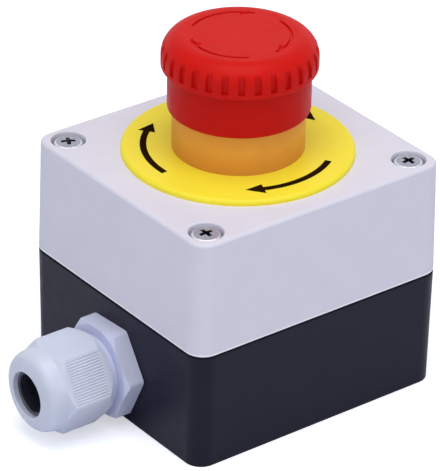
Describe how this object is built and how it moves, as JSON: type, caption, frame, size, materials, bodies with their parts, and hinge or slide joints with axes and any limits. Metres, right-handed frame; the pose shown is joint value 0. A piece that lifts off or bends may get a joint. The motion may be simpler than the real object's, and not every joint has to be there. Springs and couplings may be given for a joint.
{
  "type": "emergency stop push button",
  "caption": "Twist-release mushroom emergency stop button on a surface enclosure with legend ring, contact blocks and cable gland.",
  "frame": {"origin": "centre of the enclosure's flat bottom, the face that lies on the wall or bench", "axes": "+Z from the wall towards the red head, -X towards the cable gland, -Y towards the reader of the legend plate"},
  "size_m": [0.1046, 0.0724, 0.0967],
  "materials": {
    "base_plastic": "fine satin moulding texture",
    "cover_plastic": "fine satin moulding texture",
    "head_red": "smooth moulded, slightly glossy",
    "skirt_red": "smooth moulded, slightly glossy",
    "collar_amber": "satin moulded",
    "legend_yellow": "satin sheet",
    "gland_nylon": "satin nylon",
    "black_rubber": "matte rubber",
    "black_plastic": "satin moulded",
    "white_plastic": "satin moulded",
    "block_plastic": "satin moulded",
    "nc_plastic": "satin moulded",
    "no_plastic": "satin moulded",
    "zinc_steel": "bright zinc plated",
    "spring_steel": "drawn wire",
    "contact_brass": "stamped brass"
  },
  "bodies": {
    "enclosure": {"enclosure_base": "base_plastic", "enclosure_cover": "cover_plastic", "cover_gasket": "black_rubber", "cover_screws": "zinc_steel", "legend_ring": "legend_yellow", "operator_body": "collar_amber", "panel_seal": "black_rubber", "lock_washer": "zinc_steel", "mounting_nut": "black_plastic", "return_spring": "spring_steel", "contact_carrier": "black_plastic", "carrier_screws": "zinc_steel", "gland_body": "gland_nylon", "gland_washer": "black_rubber", "gland_locknut": "gland_nylon", "nc_housing": "block_plastic", "nc_side_cover": "block_plastic", "nc_fixed_contacts": "contact_brass", "nc_clamp_plates": "zinc_steel", "nc_terminal_screws": "zinc_steel", "nc_spring": "spring_steel", "no_housing": "block_plastic", "no_side_cover": "block_plastic", "no_fixed_contacts": "contact_brass", "no_clamp_plates": "zinc_steel", "no_terminal_screws": "zinc_steel", "no_spring": "spring_steel"},
    "pusher": {"pusher": "white_plastic", "pusher_foot": "white_plastic", "latch_pins": "zinc_steel", "torsion_spring": "spring_steel"},
    "head": {"mushroom_head": "head_red", "head_skirt": "skirt_red", "twist_shaft": "black_plastic", "shaft_screw": "zinc_steel"},
    "nc_contact": {"nc_plunger": "nc_plastic", "nc_bridge": "contact_brass"},
    "no_contact": {"no_plunger": "no_plastic", "no_bridge": "contact_brass"},
    "gland_seal": {"gland_seal": "black_rubber"},
    "gland_cap_nut": {"gland_cap_nut": "gland_nylon"}
  },
  "joints": [
    {"name": "button_press", "type": "slide", "parent": "enclosure", "child": "pusher", "axis": [0, 0, -1], "range_m": [0, 0.0055], "stiffness_N_per_m": 2500, "springref_m": -0.003, "deforming": ["return_spring"]},
    {"name": "button_twist", "type": "hinge", "parent": "pusher", "child": "head", "pos_m": [0, 0, 0.0641], "axis": [0, 0, -1], "range_deg": [0, 45], "stiffness_Nm_per_rad": 0.06, "springref_deg": -5.73},
    {"name": "nc_contact_slide", "type": "slide", "parent": "enclosure", "child": "nc_contact", "axis": [0, 0, -1], "range_m": [0, 0.0055], "deforming": ["nc_spring"]},
    {"name": "no_contact_slide", "type": "slide", "parent": "enclosure", "child": "no_contact", "axis": [0, 0, -1], "range_m": [0, 0.0055], "deforming": ["no_spring"]},
    {"name": "gland_seal_slide", "type": "slide", "parent": "enclosure", "child": "gland_seal", "axis": [1, 0, 0], "range_m": [0, 0.0015]},
    {"name": "gland_cap_turn", "type": "hinge", "parent": "gland_seal", "child": "gland_cap_nut", "pos_m": [-0.055, 0, 0.0143], "axis": [1, 0, 0], "range_deg": [0, 360]}
  ],
  "couplings": [
    {"joint": "nc_contact_slide", "follows": "button_press", "ratio": 1},
    {"joint": "no_contact_slide", "follows": "button_press", "ratio": 1},
    {"joint": "gland_cap_turn", "follows": "gland_seal_slide", "rad_per_m": 4188.8}
  ]
}
